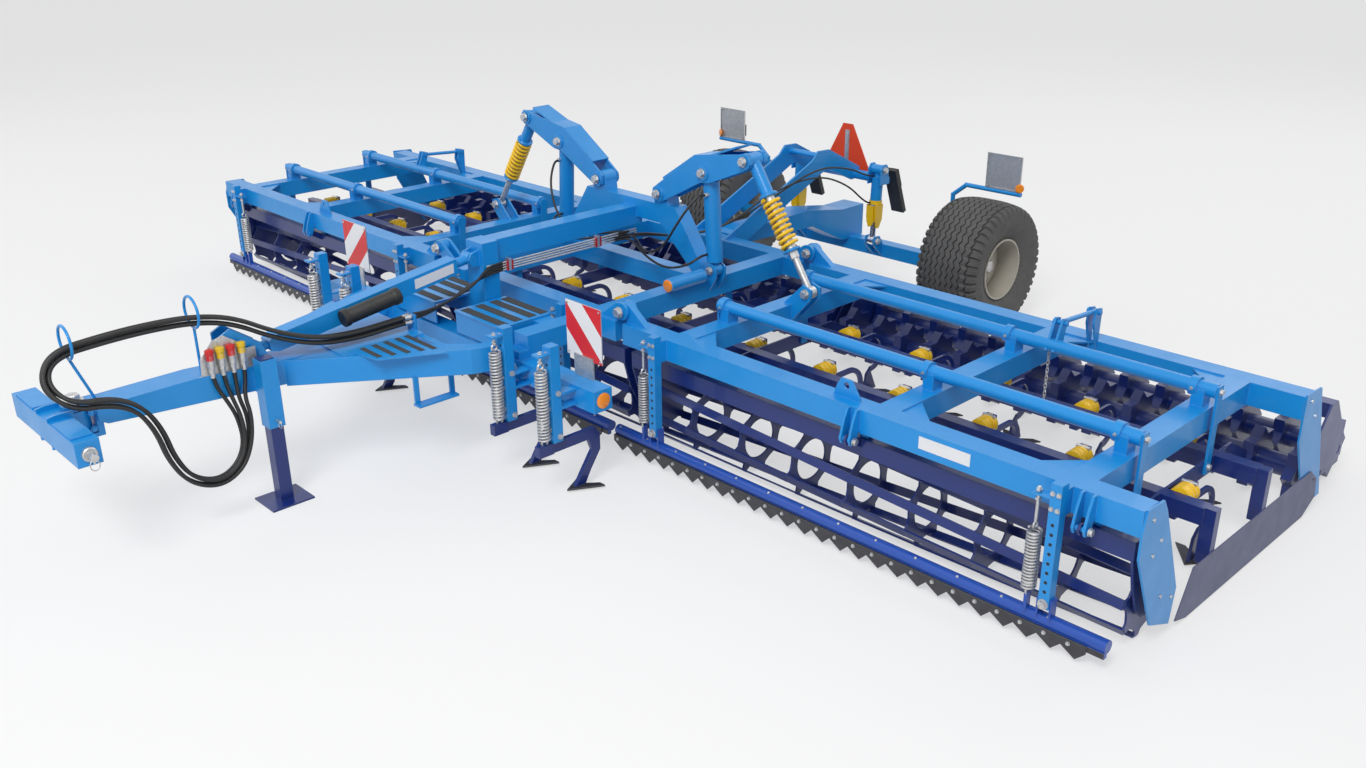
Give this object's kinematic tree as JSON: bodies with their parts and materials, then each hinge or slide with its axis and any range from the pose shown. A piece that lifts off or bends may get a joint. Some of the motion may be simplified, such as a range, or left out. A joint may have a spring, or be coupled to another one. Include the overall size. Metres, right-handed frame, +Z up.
{
  "type": "towed seedbed cultivator",
  "caption": "Towed seedbed cultivator with two folding wings, toothed levelling bars, sprung tines, slatted and lugged rollers, and a transport axle behind.",
  "frame": {"origin": "under the middle of the machine's overall box, on the ground", "axes": "+X to the machine's left, -Y towards the drawbar, +Z up"},
  "size_m": [8.014, 6.342, 1.595],
  "materials": {
    "frame_paint": "gloss",
    "tool_paint": "gloss",
    "tooth_steel": "worn",
    "spring_paint": "gloss",
    "galvanised": "satin",
    "rod_chrome": "polished",
    "tyre": "matte",
    "rim_paint": "satin",
    "board": "satin",
    "black_plastic": "matte",
    "hose": "matte"
  },
  "bodies": {
    "centre": {"centre_frame": "frame_paint", "centre_leveller": "tooth_steel", "centre_tines": "tool_paint", "centre_tine_springs": "spring_paint", "centre_coils": "galvanised", "centre_roller_frames": "tool_paint", "loosener_posts": "frame_paint", "loosener_tines": "tool_paint", "step_platforms": "galvanised", "warning_signs": "board"},
    "wing_left": {"wing_left_frame": "frame_paint", "wing_left_leveller": "tooth_steel", "wing_left_coils": "galvanised", "wing_left_tines": "tool_paint", "wing_left_tine_springs": "spring_paint", "wing_left_roller_frames": "tool_paint"},
    "rocker_left": {"rocker_left": "frame_paint"},
    "strut_left": {"strut_left": "spring_paint"},
    "fold_barrel_left": {"fold_barrel_left": "frame_paint"},
    "fold_rod_left": {"fold_rod_left": "rod_chrome"},
    "front_roller_left": {"front_roller_left": "tool_paint"},
    "rear_roller_left": {"rear_roller_left": "tool_paint"},
    "last_roller_left": {"last_roller_left": "tool_paint"},
    "wheel_left": {"tyre_left": "tyre", "rim_left": "rim_paint"},
    "wing_right": {"wing_right_frame": "frame_paint", "wing_right_leveller": "tooth_steel", "wing_right_coils": "galvanised", "wing_right_tines": "tool_paint", "wing_right_tine_springs": "spring_paint", "wing_right_roller_frames": "tool_paint"},
    "rocker_right": {"rocker_right": "frame_paint"},
    "strut_right": {"strut_right": "spring_paint"},
    "fold_barrel_right": {"fold_barrel_right": "frame_paint"},
    "fold_rod_right": {"fold_rod_right": "rod_chrome"},
    "front_roller_right": {"front_roller_right": "tool_paint"},
    "rear_roller_right": {"rear_roller_right": "tool_paint"},
    "last_roller_right": {"last_roller_right": "tool_paint"},
    "wheel_right": {"tyre_right": "tyre", "rim_right": "rim_paint"},
    "front_roller_centre": {"front_roller_centre": "tool_paint"},
    "rear_roller_centre": {"rear_roller_centre": "tool_paint"},
    "last_roller_centre": {"last_roller_centre": "tool_paint"},
    "axle": {"axle_frame": "frame_paint", "rear_lights": "board"},
    "lift_barrel": {"lift_barrels": "frame_paint"},
    "lift_rod": {"lift_rods": "rod_chrome"},
    "drawbar": {"drawbar": "frame_paint", "hose_1": "hose", "hose_2": "hose", "hose_3": "hose", "hose_4": "hose"},
    "hitch": {"hitch_bar": "frame_paint"},
    "jack": {"jack_leg": "tool_paint"},
    "link_rod": {"link_rod": "frame_paint"},
    "link_barrel": {"link_barrel": "frame_paint", "document_tube": "black_plastic"}
  },
  "joints": [
    {"name": "wing_left_fold", "type": "hinge", "parent": "centre", "child": "wing_left", "pos_m": [0.9, -0.421, 0.8], "axis": [0, -1, 0], "range_deg": [0, 90]},
    {"name": "rocker_left_turn", "type": "hinge", "parent": "centre", "child": "rocker_left", "pos_m": [0.29, 0.529, 1.21], "axis": [0, -1, 0], "range_deg": [-0.5, 65.25]},
    {"name": "strut_left_turn", "type": "hinge", "parent": "rocker_left", "child": "strut_left", "pos_m": [1.02, 0.529, 1.52], "axis": [0, -1, 0], "range_deg": [-57.17, 0.5]},
    {"name": "fold_barrel_left_turn", "type": "hinge", "parent": "centre", "child": "fold_barrel_left", "pos_m": [0.72, 0.529, 0.8], "axis": [0, -1, 0], "range_deg": [-0.5, 23.98]},
    {"name": "fold_rod_left_slide", "type": "slide", "parent": "fold_barrel_left", "child": "fold_rod_left", "axis": [-0.0665, 0, 0.9978], "range_m": [-0.001, 0.34919]},
    {"name": "front_roller_left_turn", "type": "hinge", "parent": "wing_left", "child": "front_roller_left", "pos_m": [2, -0.131, 0.205], "axis": [1, 0, 0], "continuous": true},
    {"name": "rear_roller_left_turn", "type": "hinge", "parent": "wing_left", "child": "rear_roller_left", "pos_m": [2, 1.589, 0.18], "axis": [1, 0, 0], "continuous": true},
    {"name": "last_roller_left_turn", "type": "hinge", "parent": "wing_left", "child": "last_roller_left", "pos_m": [2, 1.979, 0.18], "axis": [1, 0, 0], "continuous": true},
    {"name": "wheel_left_turn", "type": "hinge", "parent": "axle", "child": "wheel_left", "pos_m": [1.2, 2.709, 0.462], "axis": [1, 0, 0], "continuous": true},
    {"name": "wing_right_fold", "type": "hinge", "parent": "centre", "child": "wing_right", "pos_m": [-0.9, -0.421, 0.8], "axis": [0, 1, 0], "range_deg": [0, 90]},
    {"name": "rocker_right_turn", "type": "hinge", "parent": "centre", "child": "rocker_right", "pos_m": [-0.29, 0.529, 1.21], "axis": [0, 1, 0], "range_deg": [-0.5, 65.25]},
    {"name": "strut_right_turn", "type": "hinge", "parent": "rocker_right", "child": "strut_right", "pos_m": [-1.02, 0.529, 1.52], "axis": [0, 1, 0], "range_deg": [-57.17, 0.5]},
    {"name": "fold_barrel_right_turn", "type": "hinge", "parent": "centre", "child": "fold_barrel_right", "pos_m": [-0.72, 0.529, 0.8], "axis": [0, 1, 0], "range_deg": [-0.5, 23.98]},
    {"name": "fold_rod_right_slide", "type": "slide", "parent": "fold_barrel_right", "child": "fold_rod_right", "axis": [0.0665, 0, 0.9978], "range_m": [-0.001, 0.34919]},
    {"name": "front_roller_right_turn", "type": "hinge", "parent": "wing_right", "child": "front_roller_right", "pos_m": [-2, -0.131, 0.205], "axis": [1, 0, 0], "continuous": true},
    {"name": "rear_roller_right_turn", "type": "hinge", "parent": "wing_right", "child": "rear_roller_right", "pos_m": [-2, 1.589, 0.18], "axis": [1, 0, 0], "continuous": true},
    {"name": "last_roller_right_turn", "type": "hinge", "parent": "wing_right", "child": "last_roller_right", "pos_m": [-2, 1.979, 0.18], "axis": [1, 0, 0], "continuous": true},
    {"name": "wheel_right_turn", "type": "hinge", "parent": "axle", "child": "wheel_right", "pos_m": [-1.2, 2.709, 0.462], "axis": [1, 0, 0], "continuous": true},
    {"name": "front_roller_centre_turn", "type": "hinge", "parent": "centre", "child": "front_roller_centre", "pos_m": [0, -0.131, 0.205], "axis": [1, 0, 0], "continuous": true},
    {"name": "rear_roller_centre_turn", "type": "hinge", "parent": "centre", "child": "rear_roller_centre", "pos_m": [0, 1.589, 0.18], "axis": [1, 0, 0], "continuous": true},
    {"name": "last_roller_centre_turn", "type": "hinge", "parent": "centre", "child": "last_roller_centre", "pos_m": [0, 1.979, 0.18], "axis": [1, 0, 0], "continuous": true},
    {"name": "axle_swing", "type": "hinge", "parent": "centre", "child": "axle", "pos_m": [0, 1.389, 0.7], "axis": [1, 0, 0], "range_deg": [-8, 3]},
    {"name": "lift_barrel_turn", "type": "hinge", "parent": "centre", "child": "lift_barrel", "pos_m": [0, 2.589, 1.03], "axis": [1, 0, 0], "range_deg": [-2.78, 1.36]},
    {"name": "lift_rod_slide", "type": "slide", "parent": "lift_barrel", "child": "lift_rod", "axis": [0, -0.0565, -0.9984], "range_m": [-0.06247, 0.16491]},
    {"name": "drawbar_lift", "type": "hinge", "parent": "centre", "child": "drawbar", "pos_m": [0, -1.041, 0.6], "axis": [1, 0, 0], "range_deg": [-8, 8]},
    {"name": "hitch_yaw", "type": "hinge", "parent": "drawbar", "child": "hitch", "pos_m": [0, -3.021, 0.69], "axis": [0, 0, 1], "range_deg": [-40, 40]},
    {"name": "jack_raise", "type": "slide", "parent": "drawbar", "child": "jack", "axis": [0, 0, 1], "range_m": [0, 0.4]},
    {"name": "link_rod_turn", "type": "hinge", "parent": "centre", "child": "link_rod", "pos_m": [0, -0.773, 1], "axis": [1, 0, 0], "range_deg": [-6.62, 6.62]},
    {"name": "link_sleeve_slide", "type": "slide", "parent": "link_rod", "child": "link_barrel", "axis": [0, -0.9893, -0.1457], "range_m": [-0.05073, 0.05073]}
  ],
  "couplings": [
    {"joint": "rocker_left_turn", "follows": "wing_left_fold", "ratio": 0.71941},
    {"joint": "strut_left_turn", "follows": "wing_left_fold", "ratio": -0.62967},
    {"joint": "fold_barrel_left_turn", "follows": "wing_left_fold", "ratio": 0.26093},
    {"joint": "fold_rod_left_slide", "follows": "wing_left_fold", "m_per_rad": 0.22167},
    {"joint": "rocker_right_turn", "follows": "wing_right_fold", "ratio": 0.71941},
    {"joint": "strut_right_turn", "follows": "wing_right_fold", "ratio": -0.62967},
    {"joint": "fold_barrel_right_turn", "follows": "wing_right_fold", "ratio": 0.26093},
    {"joint": "fold_rod_right_slide", "follows": "wing_right_fold", "m_per_rad": 0.22167},
    {"joint": "lift_barrel_turn", "follows": "axle_swing", "ratio": 0.2853},
    {"joint": "lift_rod_slide", "follows": "axle_swing", "m_per_rad": -1.1739},
    {"joint": "link_rod_turn", "follows": "drawbar_lift", "ratio": 0.76504},
    {"joint": "link_sleeve_slide", "follows": "drawbar_lift", "m_per_rad": 0.35615}
  ]
}
